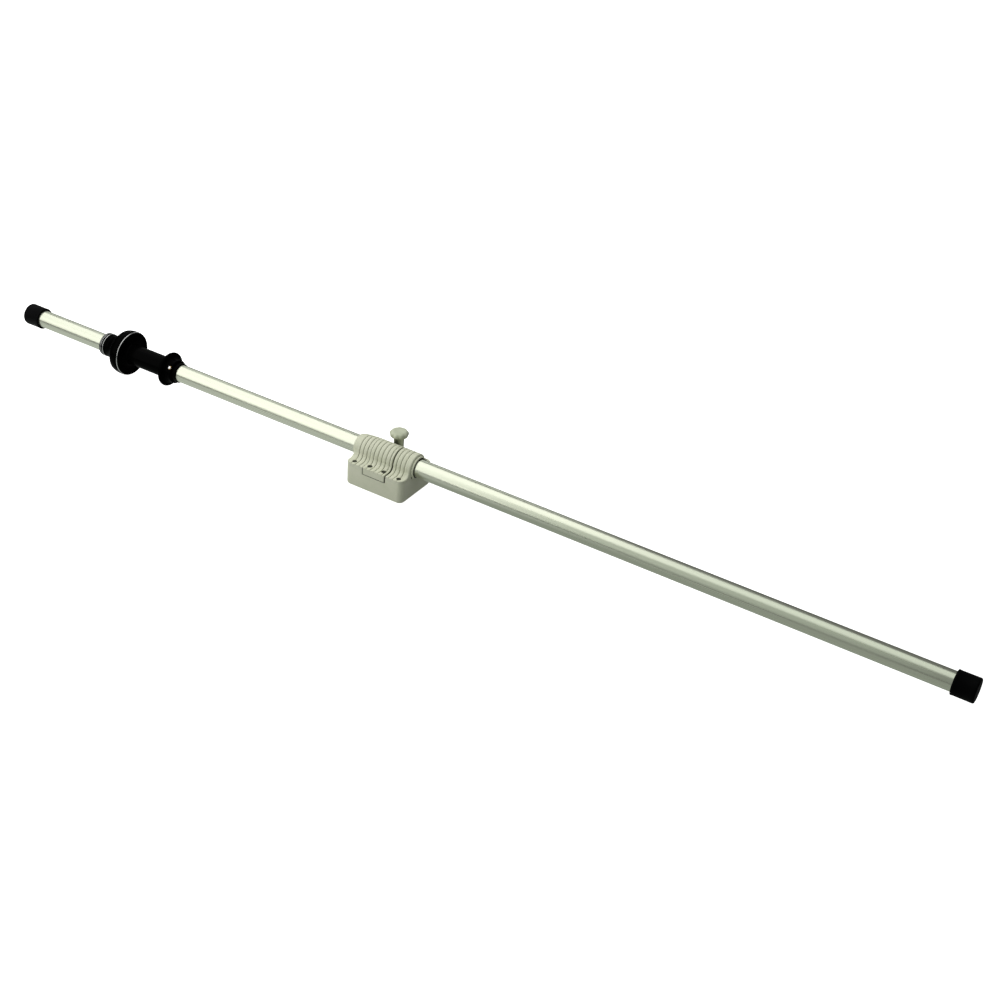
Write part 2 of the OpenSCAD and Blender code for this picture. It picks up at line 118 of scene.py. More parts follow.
def rounded(corners, steps=6):
    """A closed outline from corners (x, y, radius), each corner rounded by its radius."""
    points = []
    for i, (x, y, radius) in enumerate(corners):
        here = Vector((x, y))
        if radius <= 0:
            points.append((x, y))
            continue
        back = (Vector(corners[i - 1][:2]) - here).normalized()
        ahead = (Vector(corners[(i + 1) % len(corners)][:2]) - here).normalized()
        half = back.angle(ahead) / 2
        centre = here + (back + ahead).normalized() * radius / math.sin(half)
        first = here + back * radius / math.tan(half) - centre
        last = here + ahead * radius / math.tan(half) - centre
        turn = first.angle_signed(last)
        for k in range(steps + 1):
            spun = first.copy()
            spun.rotate(Matrix.Rotation(-turn * k / steps, 2))
            points.append(tuple(centre + spun))
    return points


def mesh_object(name, bm, smooth_angle=SMOOTH_ANGLE):
    """A new object from a bmesh in millimetres, smooth except at sharp edges."""
    bmesh.ops.recalc_face_normals(bm, faces=bm.faces)
    bmesh.ops.scale(bm, vec=(MM, MM, MM), verts=bm.verts)
    mesh = bpy.data.meshes.new(name)
    bm.to_mesh(mesh)
    bm.free()
    obj = bpy.data.objects.new(name, mesh)
    bpy.context.scene.collection.objects.link(obj)
    mesh.shade_smooth()
    mesh.set_sharp_from_angle(angle=math.radians(smooth_angle))
    return obj


def loft(bm, loops, wrap=False):
    """Skins a row of closed loops. With wrap the last joins the first, otherwise the ends close."""
    rings = [[bm.verts.new(point) for point in loop] for loop in loops]
    pairs = list(zip(rings, rings[1:]))
    if wrap:
        pairs.append((rings[-1], rings[0]))
    for a, b in pairs:
        for i in range(len(a)):
            k = (i + 1) % len(a)
            bm.faces.new((a[i], a[k], b[k], b[i]))
    if not wrap:
        bm.faces.new(rings[0][::-1])
        bm.faces.new(rings[-1])


def lathe(bm, outline, steps=144):
    """Turns a closed outline of (x, radius) points round the pole's axis."""
    loops = []
    for i in range(steps):
        a = 2 * math.pi * i / steps
        loops.append([(x, r * math.cos(a), AXIS_Z + r * math.sin(a)) for x, r in outline])
    loft(bm, loops, wrap=True)


def box(bm, x0, x1, y0, y1, low, high):
    loft(bm, [[(x0, y0, z), (x1, y0, z), (x1, y1, z), (x0, y1, z)] for z in (low, high)])


def upright_cylinder(bm, x, y, radius, low, high, steps=48):
    circle = arc(x, y, radius, 0, 360, steps)[:-1]
    loft(bm, [[(px, py, z) for px, py in circle] for z in (low, high)])


def level_cylinder(bm, y, z, radius, x0, x1, steps=64):
    circle = arc(y, z, radius, 0, 360, steps)[:-1]
    loft(bm, [[(x, py, pz) for py, pz in circle] for x in (x0, x1)])


def carve(obj, build, *sizes):
    """Cuts the solid that build puts in a bmesh out of obj."""
    bm = bmesh.new()
    build(bm, *sizes)
    cutter = mesh_object("cutter", bm)
    modifier = obj.modifiers.new("carve", "BOOLEAN")
    modifier.operation = "DIFFERENCE"
    modifier.solver = "EXACT"
    modifier.object = cutter
    depsgraph = bpy.context.evaluated_depsgraph_get()
    mesh = bpy.data.meshes.new_from_object(obj.evaluated_get(depsgraph))
    obj.modifiers.clear()
    old = obj.data
    obj.data = mesh
    mesh.set_sharp_from_angle(angle=math.radians(SMOOTH_ANGLE))
    bpy.data.meshes.remove(old)
    bpy.data.objects.remove(cutter)


def merge(obj, other):
    """Adds the other object's mesh to obj's as a second shell."""
    bm = bmesh.new()
    bm.from_mesh(obj.data)
    bm.from_mesh(other.data)
    bm.to_mesh(obj.data)
    bm.free()
    obj.data.set_sharp_from_angle(angle=math.radians(SMOOTH_ANGLE))
    old = other.data
    bpy.data.objects.remove(other)
    bpy.data.meshes.remove(old)


# ---- materials ----

class Shader:
    """A material's node tree, with a texture coordinate that rides on the object."""

    def __init__(self, name):
        self.material = bpy.data.materials.new(name)
        self.material.use_nodes = True
        self.tree = self.material.node_tree
        self.base = self.tree.nodes["Principled BSDF"]
        self.coords = self.tree.nodes.new("ShaderNodeTexCoord").outputs["Object"]

    def link(self, source, target):
        self.tree.links.new(source, target)

    def noise(self, scale, detail, stretch=(1, 1, 1)):
        mapping = self.tree.nodes.new("ShaderNodeMapping")
        mapping.inputs["Scale"].default_value = stretch
        self.link(self.coords, mapping.inputs["Vector"])
        node = self.tree.nodes.new("ShaderNodeTexNoise")
        node.inputs["Scale"].default_value = scale
        node.inputs["Detail"].default_value = detail
        node.inputs["Roughness"].default_value = NOISE_ROUGHNESS
        self.link(mapping.outputs["Vector"], node.inputs["Vector"])
        return node.outputs["Fac"]

    def span(self, value, low, high, start=0.3, end=0.7):
        node = self.tree.nodes.new("ShaderNodeMapRange")
        node.inputs["From Min"].default_value = start
        node.inputs["From Max"].default_value = end
        node.inputs["To Min"].default_value = low
        node.inputs["To Max"].default_value = high
        self.link(value, node.inputs["Value"])
        return node.outputs["Result"]

    def blend(self, factor, first, second):
        """Mixes two colours, each a tuple or a socket."""
        node = self.tree.nodes.new("ShaderNodeMix")
        node.data_type = "RGBA"
        factor_in, first_in, second_in = (node.inputs[i] for i in (0, 6, 7))
        self.link(factor, factor_in)
        for socket, value in ((first_in, first), (second_in, second)):
            if isinstance(value, tuple):
                socket.default_value = (*value, 1)
            else:
                self.link(value, socket)
        return node.outputs[2]

    def bump(self, height, distance, strength=1.0, under=None):
        node = self.tree.nodes.new("ShaderNodeBump")
        node.inputs["Distance"].default_value = distance
        node.inputs["Strength"].default_value = strength
        self.link(height, node.inputs["Height"])
        if under is not None:
            self.link(under, node.inputs["Normal"])
        return node.outputs["Normal"]


def worn_finish_with_painted_shade(name, colour, shade, metallic, rough, grain, grain_size, stretch=(1, 1, 1),
                 edge=None, specular=0.5, crevice_shade=None, crevice_shade_reach=0.0035):
    """A finish with mottling, uneven gloss, a grain in relief, edges lightened partly by rubbed wear
    and partly as painted highlight, and painted shade in its gaps and crevices.
    """
    s = Shader(name)
    mottle = s.span(s.noise(60, 4, stretch), 0, 1)
    tint = s.blend(mottle, shade, colour)
    if edge is not None:
        # lighter edges by pointiness: partly rubbed wear, partly a painted highlight where edges catch
        # the light
        point = s.tree.nodes.new("ShaderNodeNewGeometry").outputs["Pointiness"]
        tint = s.blend(s.span(point, 0, 0.55, 0.53, 0.62), tint, edge)
    # painted shade: ambient occlusion darkens grooves, gaps, wells and hollows towards the crevice
    # colour
    if crevice_shade is not None:
        gap = s.tree.nodes.new("ShaderNodeAmbientOcclusion")
        gap.inputs["Distance"].default_value = crevice_shade_reach
        tint = s.blend(s.span(gap.outputs["AO"], 1, 0, 0.25, 0.66), tint, crevice_shade)
    s.link(tint, s.base.inputs["Base Color"])
    s.link(s.span(s.noise(240, 3, stretch), rough[0], rough[1]), s.base.inputs["Roughness"])
    s.base.inputs["Metallic"].default_value = metallic
    s.base.inputs["Specular IOR Level"].default_value = specular
    wide = s.bump(s.noise(grain_size * 0.2, 2, stretch), grain * 2, 0.4)
    s.link(s.bump(s.noise(grain_size, 3, stretch), grain, 1.0, wide), s.base.inputs["Normal"])
    return s.material


def srgb(r, g, b):
    """Linear colour from 0-255 display values."""
    return tuple(((c / 255 + 0.055) / 1.055) ** 2.4 if c > 10 else c / 255 / 12.92
                 for c in (r, g, b))


DRAWN = (0.012, 1, 1)

# each edge colour below is lighter than its body: partly rubbed wear, partly painted highlight
MATERIALS = {
    "pole_aluminium": worn_finish_with_painted_shade("pole_aluminium", srgb(226, 229, 212), srgb(216, 220, 202), 1.0,
                                   (0.24, 0.34), 0.000004, 2200, DRAWN),
    "cap_rubber": worn_finish_with_painted_shade("cap_rubber", srgb(5, 5, 6), srgb(3, 3, 4), 0.0,
                               (0.42, 0.6), 0.00004, 1500, edge=srgb(18, 18, 19), specular=0.05),
    # the carriage's dark green-black crevice colour is painted shade in its grooves, gaps and screw
    # wells
    "cast_carriage": worn_finish_with_painted_shade("cast_carriage", srgb(234, 234, 213), srgb(226, 228, 204), 0.0,
                                  (0.36, 0.52), 0.00005, 1400, edge=srgb(238, 238, 222),
                                  specular=0.3, crevice_shade=srgb(34, 38, 26)),
    # the knob's dark crevice colour, reaching 11 mm, is painted shade on its underside and between its
    # lobes
    "cast_knob": worn_finish_with_painted_shade("cast_knob", srgb(222, 225, 202), srgb(198, 205, 178), 0.05,
                              (0.3, 0.46), 0.00006, 1200, edge=srgb(238, 239, 224),
                              specular=0.4, crevice_shade=srgb(38, 46, 28), crevice_shade_reach=0.011),
    "plate_steel": worn_finish_with_painted_shade("plate_steel", srgb(176, 178, 176), srgb(150, 152, 150), 1.0,
                                (0.3, 0.5), 0.00001, 2400, (0.05, 1, 1)),
    "screw_steel": worn_finish_with_painted_shade("screw_steel", srgb(92, 94, 84), srgb(66, 68, 60), 0.9,
                                (0.3, 0.5), 0.00002, 2000, edge=srgb(150, 150, 144)),
    "spring_steel": worn_finish_with_painted_shade("spring_steel", srgb(150, 150, 152), srgb(120, 120, 124), 1.0,
                                 (0.25, 0.4), 0.00001, 2500),
    "socket_brass": worn_finish_with_painted_shade("socket_brass", srgb(206, 170, 96), srgb(178, 140, 70), 1.0,
                                 (0.22, 0.4), 0.00001, 2200),
    "pad_rubber": worn_finish_with_painted_shade("pad_rubber", srgb(26, 26, 26), srgb(16, 16, 16), 0.0,
                               (0.6, 0.8), 0.00004, 1600, specular=0.3),
    "bush_plastic": worn_finish_with_painted_shade("bush_plastic", srgb(14, 15, 14), srgb(8, 9, 8), 0.0,
                                 (0.45, 0.6), 0.00002, 1800, specular=0.25),
    "grip_black": worn_finish_with_painted_shade("grip_black", srgb(2, 2, 2), srgb(1, 1, 1), 0.0,
                               (0.16, 0.3), 0.00001, 1500, edge=srgb(5, 5, 5), specular=0.01),
    "bright_ring": worn_finish_with_painted_shade("bright_ring", srgb(226, 226, 226), srgb(206, 206, 206), 1.0,
                                (0.14, 0.26), 0.000005, 2200),
    "bright_screw": worn_finish_with_painted_shade("bright_screw", srgb(232, 232, 232), srgb(210, 210, 210), 1.0,
                                 (0.2, 0.34), 0.000008, 2400),
    "liner_plastic": worn_finish_with_painted_shade("liner_plastic", srgb(226, 224, 212), srgb(212, 210, 198), 0.0,
                                  (0.4, 0.55), 0.00001, 1500),
}


def dress(obj, slot):
    """Gives a new piece the material of its slot, and no other."""
    obj.data.materials.clear()
    obj.data.materials.append(MATERIALS[slot])


def piece(obj, body, slot, *nodes):
    """Finishes a new piece: its material, its body and the CAD nodes that it stands for."""
    dress(obj, slot)
    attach(obj, body)
    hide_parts(*nodes)


for entry in frame["record"]["subparts"]:
    node = NODES[entry["node"]]
    if len(node.material_slots) == 0:
        node.data.materials.append(MATERIALS[entry["material_slot"]])
    for material_slot in node.material_slots:
        material_slot.material = MATERIALS[entry["material_slot"]]


# ---- carriage: ribbed saddles, base block ----

def corner_inset(x):
    """How far the block's rounded upright corner has pulled the side in at station x."""
    past = abs(x) - (HALF_L - BLOCK_CORNER)
    if past <= 0:
        return 0.0
    return BLOCK_CORNER - math.sqrt(max(0.0, BLOCK_CORNER ** 2 - min(past, BLOCK_CORNER) ** 2))


def groove_inset(x, grooves):
    """Depth of the groove at station x, between ribs with quarter-round shoulders."""
    away = min([abs(x - g) for g in grooves] + [GROOVE_REACH])
    t = 1 - away / GROOVE_REACH
    return GROOVE_DEPTH * (1 - math.sqrt(1 - t * t))


def end_inset(x, x0, x1, soft):
    """Rounding of the outline where the saddle ends, given for its left and right end."""
    inset = 0.0
    for away, radius in ((x - x0, soft[0]), (x1 - x, soft[1])):
        if away < radius:
            inset = radius - math.sqrt(max(0.0, radius ** 2 - (radius - away) ** 2))
    return inset


def saddle_loop(x, width, inset, sunk, bottom, channel_r, skirt=None):
    """Closed outline across the pole at station x, its arch sunk further than its feet."""
    edge = 1.1
    top = FOOT_TOP - inset
    lean = math.degrees(math.asin((HOLLOW_Z - AXIS_Z) / (ARCH_R + HOLLOW_R)))
    half = arc(width - edge, top - edge, edge, 0, 90, 5)
    for k in range(13):
        a = math.radians(270 - (90 - lean) * k / 12)
        r = HOLLOW_R + inset + sunk * k / 12
        y = min(HOLLOW_Y + r * math.cos(a), width - edge - 0.02)
        half.append((y, HOLLOW_Z + r * math.sin(a)))
    half += arc(0, AXIS_Z, ARCH_R - inset - sunk, lean, 90, 24)
    back = [(width, bottom)] + half
    front = [(-y, z) for y, z in reversed(half[:-1])]
    if skirt is None:
        front += [(-width, bottom)]
    else:
        low, thick = skirt
        front += [(-width, low + 0.4), (-width + 0.4, low), (-width + thick, low),
                  (-width + thick, bottom)]
    inner = [(-channel_r, bottom)] + arc(0, AXIS_Z, channel_r, 180, 0, 24) + [(channel_r, bottom)]
    return [(x, y, z) for y, z in back + front + inner]


def stations(x0, x1, grooves, soft):
    """Places along the pole where a saddle's outline is set, close together where it bends."""
    places = {x0, x1}
    for step in (0.04, 0.17, 0.43, 0.7, 1):
        places.update((x0 + step * soft[0], x1 - step * soft[1]))
    for g in grooves:
        for t in (0, 0.12, 0.25, 0.4, 0.6, 0.8, 1):
            places.update((g - t * GROOVE_REACH, g + t * GROOVE_REACH))
    for k in range(10):
        corner = HALF_L - BLOCK_CORNER + BLOCK_CORNER * math.sin(math.radians(10 * k))
        places.update((corner, -corner))
    return sorted(x for x in places if x0 <= x <= x1)


def saddle(bm, x0, x1, grooves, soft, bottom=SEAM_Z, channel_r=SEAT_R, skirt=None, taper=0):
    """Ribbed saddle. With taper its arch sinks towards the left end."""
    loops = []
    for x in stations(x0, x1, grooves, soft):
        edge_in = end_inset(x, x0, x1, soft)
        width = HALF_W - corner_inset(x) - min(edge_in, 0.7)
        inset = groove_inset(x, grooves) + edge_in
        sunk = taper * ((x1 - x) / (x1 - x0)) ** 2
        loops.append(saddle_loop(x, width, inset, sunk, bottom, channel_r, skirt))
    loft(bm, loops)


def nose(bm, inner_x, outer_x):
    """Arched lip that stands out past the block's end."""
    soft = 1.0
    way = math.copysign(1, inner_x - outer_x)
    outline = [(inner_x, NOSE_ARCH_R)]
    for k in range(7):
        a = math.radians(15 * k)
        outline.append((outer_x + way * soft * (1 - math.cos(a)),
                        NOSE_ARCH_R - soft * (1 - math.sin(a))))
    rings = []
    for x, r in sorted(outline):
        low = math.degrees(math.asin((SEAM_Z - AXIS_Z) / r))
        inner_low = math.degrees(math.asin((SEAM_Z - AXIS_Z) / SEAT_R))
        outer = arc(0, AXIS_Z, r, low, 180 - low, 40)
        inner = arc(0, AXIS_Z, SEAT_R, 180 - inner_low, inner_low, 40)
        rings.append([(x, y, z) for y, z in outer + inner])
    loft(bm, rings)


def grooves_from(first, count):
    return [first + i * RIB_PITCH for i in range(count)]


LEFT_GROOVES = grooves_from(-35.6, 3)
RIGHT_GROOVES = grooves_from(23.6, 3)
JAW_GROOVES = grooves_from(-12.2, 5)

CAP_SCREWS = [(x, y) for x in (CAP_SCREWS_LOW.x + HEAD_R, CAP_SCREWS_HIGH.x - HEAD_R)
              for y in (CAP_SCREWS_LOW.y + HEAD_R, CAP_SCREWS_HIGH.y - HEAD_R)]
JAW_SCREWS = [(x, (JAW_SCREWS_LOW.y + JAW_SCREWS_HIGH.y) / 2)
              for x in (JAW_SCREWS_LOW.x + HEAD_R, JAW_SCREWS_HIGH.x - HEAD_R)]


def bearing_cap(name, low_x, high_x, nose_x, grooves, soft, taper=0):
    bm = bmesh.new()
    saddle(bm, low_x, high_x, grooves, soft, taper=taper)
    obj = mesh_object(name, bm)
    for x, y in CAP_SCREWS:
        if low_x < x < high_x:
            carve(obj, upright_cylinder, x, y, CAP_WELL_R, FOOT_TOP - CAP_WELL_DEPTH, FOOT_TOP + 9)
    bm = bmesh.new()
    nose(bm, math.copysign(HALF_L - 2.5, nose_x), nose_x)
    merge(obj, mesh_object("nose", bm))
    return obj


left_cap = bearing_cap("left_cap_casting", -HALF_L, LEFT_CAP_HIGH.x, LEFT_CAP_LOW.x, LEFT_GROOVES,
                       (2.0, 0.5), 2.0)
piece(left_cap, "carriage", "cast_carriage", "left_bearing_cap")
right_cap = bearing_cap("right_cap_casting", RIGHT_CAP_LOW.x, HALF_L, RIGHT_CAP_HIGH.x,
                        RIGHT_GROOVES, (1.1, 2.0))
piece(right_cap, "carriage", "cast_carriage", "right_bearing_cap")

bm = bmesh.new()
saddle(bm, JAW_LOW.x, JAW_HIGH.x, JAW_GROOVES, (0.5, 0.9), SEAM_Z + JAW_LIFT, JAW_CHANNEL_R,
       (JAW_LOW.z, SKIRT_T))
jaw = mesh_object("jaw_casting", bm)
PIN = ((PIN_LOW.y + PIN_HIGH.y) / 2, (PIN_LOW.z + PIN_HIGH.z) / 2)
for x, y in JAW_SCREWS:
    carve(jaw, upright_cylinder, x, y, JAW_WELL_R, SEAM_Z + 2, FOOT_TOP + 12)
    carve(jaw, upright_cylinder, x, y, JAW_HOLE_R, SEAM_Z - PAST, FOOT_TOP)
carve(jaw, upright_cylinder, STUD_X, STUD_Y, STUD_WELL_R, FOOT_TOP, FOOT_TOP + 14)
carve(jaw, upright_cylinder, STUD_X, STUD_Y, STUD_HOLE_R, SEAM_Z - PAST, FOOT_TOP + PAST)
carve(jaw, level_cylinder, *PIN, PIN_BORE_R, PIN_LOW.x - 0.5, PIN_HIGH.x + 0.5)
carve(jaw, box, JAW_LOW.x - 1, JAW_LOW.x + NOTCH_W, -HALF_W - 1, -HALF_W + SKIRT_T + 0.2,
      JAW_LOW.z - 1, FOOT_TOP - 1.4)
piece(jaw, "jaw", "cast_carriage", "clamp_jaw")


def block_loop(z, inset):
    """Rounded rectangle round the block at height z."""
    corner = max(BLOCK_CORNER - inset, 1)
    cx, cy = HALF_L - inset - corner, HALF_W - inset - corner
    points = []
    for x, y, start in ((cx, cy, 0), (-cx, cy, 90), (-cx, -cy, 180), (cx, -cy, 270)):
        points += arc(x, y, corner, start, start + 90, 10)
    return [(px, py, z) for px, py in points]


LOW_ROUND, TOP_ROUND = 3.0, 0.45
levels = [(LOW_ROUND * (1 - math.cos(math.radians(a))), LOW_ROUND * (1 - math.sin(math.radians(a))))
          for a in range(0, 91, 15)]
levels += [(SEAM_Z - TOP_ROUND * (1 - math.sin(math.radians(a))),
            TOP_ROUND * (1 - math.cos(math.radians(a)))) for a in range(0, 91, 30)]
bm = bmesh.new()
loft(bm, [block_loop(z, inset) for z, inset in levels])
block = mesh_object("block_casting", bm)


def plate_recess(cutter):
    """Seat of the base plate in the block's underside."""
    low, high = node_box("base_plate")
    outline = rounded([(low.x, low.y, 4), (high.x, low.y, 4), (high.x, high.y, 4),
                       (low.x, high.y, 4)])
    loft(cutter, [[(x, y, z) for x, y in outline] for z in (-PAST, high.z)])


carve(block, level_cylinder, 0, AXIS_Z, SEAT_R, -HALF_L - 5, HALF_L + 5, 96)
carve(block, box, LEFT_CAP_HIGH.x, RIGHT_CAP_LOW.x, -HALF_W - PAST, -HALF_W + SKIRT_T + SKIRT_BACK,
      JAW_LOW.z - SKIRT_ROOM, SEAM_Z + PAST)
carve(block, plate_recess)
carve(block, upright_cylinder, 0, 0, FLANGE_SEAT_R, -PAST, FLANGE_SEAT_TOP)
carve(block, upright_cylinder, 0, 0, SOCKET_SEAT_R, 4, SOCKET_SEAT_TOP)
carve(block, level_cylinder, *PIN, PIN_SEAT_R, PIN_LOW.x, PIN_HIGH.x)
piece(block, "carriage", "cast_carriage", "base_block")


# ---- screws with domed, cross-recessed heads ----

def screw(bm, x, y, top, low):
    """One screw, its head's dome at height top, with the cross cut in as a star-shaped well."""
    profile = [(low, 0.9), (low + 1, 1.45), (top - 1.9, 1.45), (top - 1.85, HEAD_R - 0.25),
               (top - 1.5, HEAD_R), (top - 1.0, HEAD_R - 0.05), (top - 0.5, HEAD_R - 0.5),
               (top - 0.2, HEAD_R - 1.0), (top - 0.08, 1.72)]
    steps = 32
    turn = 2 * math.pi / steps
    loops = [[(x + r * math.cos(turn * i), y + r * math.sin(turn * i), z) for i in range(steps)]
             for z, r in profile]
    for z, shrink in ((top - 0.06, 1.0), (top - 0.9, 0.72)):
        star = []
        for i in range(steps):
            a = turn * i
            arm = abs(math.cos(2 * a)) ** 6
            r = (0.42 + 1.2 * arm) * shrink
            star.append((x + r * math.cos(a + 0.4), y + r * math.sin(a + 0.4), z))
        loops.append(star)
    loft(bm, loops)


for name, places, top, low, node in (
        ("cap_screw_heads", CAP_SCREWS, CAP_SCREWS_HIGH.z, CAP_SCREWS_LOW.z, "bearing_cap_screws"),
        ("jaw_screw_heads", JAW_SCREWS, JAW_SCREWS_HIGH.z, JAW_SCREWS_LOW.z, "jaw_screws")):
    bm = bmesh.new()
    for x, y in places:
        screw(bm, x, y, top, low)
    piece(mesh_object(name, bm, 30), "carriage", "screw_steel", node)


# ---- thumbscrew knob ----

KNOB_R = (KNOB_HIGH.x - KNOB_LOW.x) / 2
KNOB_TOP = KNOB_HIGH.z
KNOB_TALL = KNOB_HIGH.z - KNOB_LOW.z
KNOB_LOBES = 9
KNOB_STEPS = 216
# distance below the top, radius less the head's, and depth of the lobes, from the foot up
KNOB_PROFILE = [
    (KNOB_TALL, -7.0, 0), (KNOB_TALL, -6.4, 0), (KNOB_TALL - 0.4, -6.1, 0), (14.5, -6.1, 0),
    (12.8, -5.9, 0), (11.2, -5.3, 0.1), (9.9, -4.3, 0.3), (8.9, -3.1, 0.6), (8.0, -1.9, 0.9),
    (7.0, -0.9, 1.1), (5.8, -0.25, 1.2), (4.5, 0, 1.2), (3.1, -0.3, 1.15), (2.0, -0.9, 1.0),
    (1.1, -1.8, 0.8), (0.5, -2.8, 0.55), (0.12, -3.9, 0.3), (0, -5.0, 0.12), (0.1, -6.2, 0),
    (0.35, -8.0, 0), (0.5, -10, 0), (0.55, -12, 0)]


def knob_loop(below, shorter, lobe):
    loop = []
    for i in range(KNOB_STEPS):
        a = 2 * math.pi * i / KNOB_STEPS
        r = KNOB_R + shorter - lobe * (1 - abs(math.cos(KNOB_LOBES * a / 2)) ** 0.7)
        loop.append((STUD_X + r * math.cos(a), STUD_Y + r * math.sin(a), KNOB_TOP - below))
    return loop


bm = bmesh.new()
loft(bm, [knob_loop(*row) for row in KNOB_PROFILE])
piece(mesh_object("knob_casting", bm, 50), "thumbscrew", "cast_knob", "thumbscrew_knob")


# ---- rubber end caps ----

def end_cap(name, lip_x, end_x, node):
    """Moulded cap: soft lip at the tube, slight waist, rounded and domed end."""
    low, high = node_box(node)
    radius = (high.z - low.z) / 2
    way = math.copysign(1, end_x - lip_x)
    length = abs(end_x - lip_x)
    outer = [(0, POLE_R + 0.02), (0, radius - 0.7), (0.25, radius - 0.25), (0.8, radius),
             (2.2, radius), (2.7, radius - 0.25), (length - 6, radius - 0.15)]
    outer += [(length - 2.2 + x, radius - 2.0 + r) for x, r in
              [(1.9 * math.sin(math.radians(a)), 1.9 * math.cos(math.radians(a)))
               for a in range(0, 91, 15)]]
    outer += [(length - 0.3, radius * 0.6), (length - 0.1, radius * 0.35), (length, 0.02)]
    inner = [(length - 3, 0.02), (length - 3, POLE_R + 0.02)]
    bm = bmesh.new()
    lathe(bm, [(lip_x + way * x, r) for x, r in outer + inner])
    piece(mesh_object(name, bm, 40), "pole", "cap_rubber", node)


LEFT_END_LOW, LEFT_END_HIGH = node_box("left_end_cap")
RIGHT_END_LOW, RIGHT_END_HIGH = node_box("right_end_cap")
end_cap("left_cap_moulding", LEFT_END_HIGH.x, LEFT_END_LOW.x, "left_end_cap")
end_cap("right_cap_moulding", RIGHT_END_LOW.x, RIGHT_END_HIGH.x, "right_end_cap")


# ---- hand grip ----

BELL_R = (BELL_HIGH.z - BELL_LOW.z) / 2
RIM_X = BELL_HIGH.x
SLEEVE_R = (SLEEVE_HIGH.z - SLEEVE_LOW.z) / 2
FLANGE_R = (HUB_HIGH.z - HUB_LOW.z) / 2
NOSE_R = 16.5
NOSE_LEN = 13.2
FLARE_R = 22.0
FLANGE_T = 5.5
HUB_R = 17.0
LIP_R = 14.0
SHELL_R = 13.0                      # bore of the grip's shell
LOCK_WELL_R, LOCK_BORE_R = 2.7, 2.6


def bell_outline():
    """Nose with three ring grooves, hollow neck, and a broad rim with softened edges."""
    outer = [(0, SHELL_R), (0, NOSE_R - 1.2)] + arc(1.2, NOSE_R - 1.2, 1.2, 180, 90, 5)[1:]
    for at, half in ((2, 0.35), (3.9, 0.35), (7.2, 0.6)):
        outer += [(at - half, NOSE_R), (at - half * 0.7, NOSE_R - half * 0.5),
                  (at + half * 0.7, NOSE_R - half * 0.5), (at + half, NOSE_R)]
    outer += [(11.6, NOSE_R), (12, NOSE_R - 0.25), (12.6, NOSE_R - 0.25)]
    sweep = math.degrees(math.acos((NOSE_R + FLARE_R - (BELL_R - 1.7)) / FLARE_R))
    outer += arc(NOSE_LEN, NOSE_R + FLARE_R, FLARE_R, 270, 270 + sweep, 28)
    rim = RIM_X - BELL_LOW.x
    start = outer[-1][0]
    outer += [(start + 0.9, BELL_R - 1.35), (start + 2.2, BELL_R - 0.95), (start + 4.0, BELL_R - 0.55),
              (start + 6.5, BELL_R - 0.15), (start + 8.5, BELL_R), (rim - 2.5, BELL_R),
              (rim - 2.2, BELL_R - 0.15),
              (rim - 2.05, BELL_R - 0.5), (rim - 2.0, BELL_R - 0.9), (rim - 1.75, BELL_R - 1.5),
              (rim - 0.85, BELL_R - 1.5), (rim - 0.6, BELL_R - 0.9), (rim - 0.45, BELL_R - 0.75),
              (rim - 0.15, BELL_R - 0.95), (rim, BELL_R - 1.4), (rim, BELL_R - 2.6),
              (rim - 0.3, BELL_R - 3), (rim - 4.1, BELL_R - 3), (rim - 4.1, SLEEVE_R)]
    return [(BELL_LOW.x + x, r) for x, r in outer + [(20, SLEEVE_R), (20, SHELL_R)]]


bm = bmesh.new()
lathe(bm, bell_outline(), GRIP_STEPS)
piece(mesh_object("bell_shell", bm, 40), "grip", "grip_black", "grip_bell")

bm = bmesh.new()
plate_x = RIM_X - 4.1
lathe(bm, [(plate_x, SLEEVE_R), (plate_x, BELL_R - 3)] + [(plate_x + x, r) for x, r in (
    (1.7, BELL_R - 3.02), (2.0, BELL_R - 3.4), (2.15, BELL_R - 6), (2.5, SLEEVE_R + 6),
    (3.0, SLEEVE_R + 3), (3.9, SLEEVE_R + 1.2), (5.2, SLEEVE_R + 0.35), (6.6, SLEEVE_R))], GRIP_STEPS)
piece(mesh_object("bell_face", bm, 40), "grip", "grip_black", "bell_face_plate")

bm = bmesh.new()
lathe(bm, arc(RIM_X - 1.3, BELL_R - 1, 0.75, 0, 360, 12)[:-1], GRIP_STEPS)
piece(mesh_object("bell_ring", bm, 60), "grip", "bright_ring", "bell_rim_ring")


def hub_outline():
    """Rounded flange that the sleeve runs up into, filleted hub, and a thin end lip."""
    left, right = HUB_LOW.x, HUB_HIGH.x
    face = left + FLANGE_T
    hub_end = right - 7
    round_r = FLANGE_T / 2
    outer = arc(left - 3, SLEEVE_R + 3.1, 3, 270, 360, 6)
    outer += arc(left + round_r, FLANGE_R - round_r, round_r, 180, 0, 14)
    outer += arc(face + 4, HUB_R + 4, 4, 180, 270, 8)
    outer += [(hub_end - 1.1, HUB_R)] + arc(hub_end - 1.1, HUB_R - 1.1, 1.1, 90, 0, 5)[1:]
    outer += [(hub_end, LIP_R + 0.4), (hub_end + 0.4, LIP_R), (right - 0.5, LIP_R),
              (right, LIP_R - 0.4), (right, SHELL_R), (left + 3, SHELL_R), (left + 3, SLEEVE_R - 0.4),
              (left - 3, SLEEVE_R - 0.4)]
    return outer


LOCK_LOW, LOCK_HIGH = node_box("lock_screw")
LOCK_X = (LOCK_LOW.x + LOCK_HIGH.x) / 2
LOCK_OUT = (Vector((LOCK_LOW + LOCK_HIGH)) / 2 - Vector((LOCK_X, 0, AXIS_Z))).normalized()


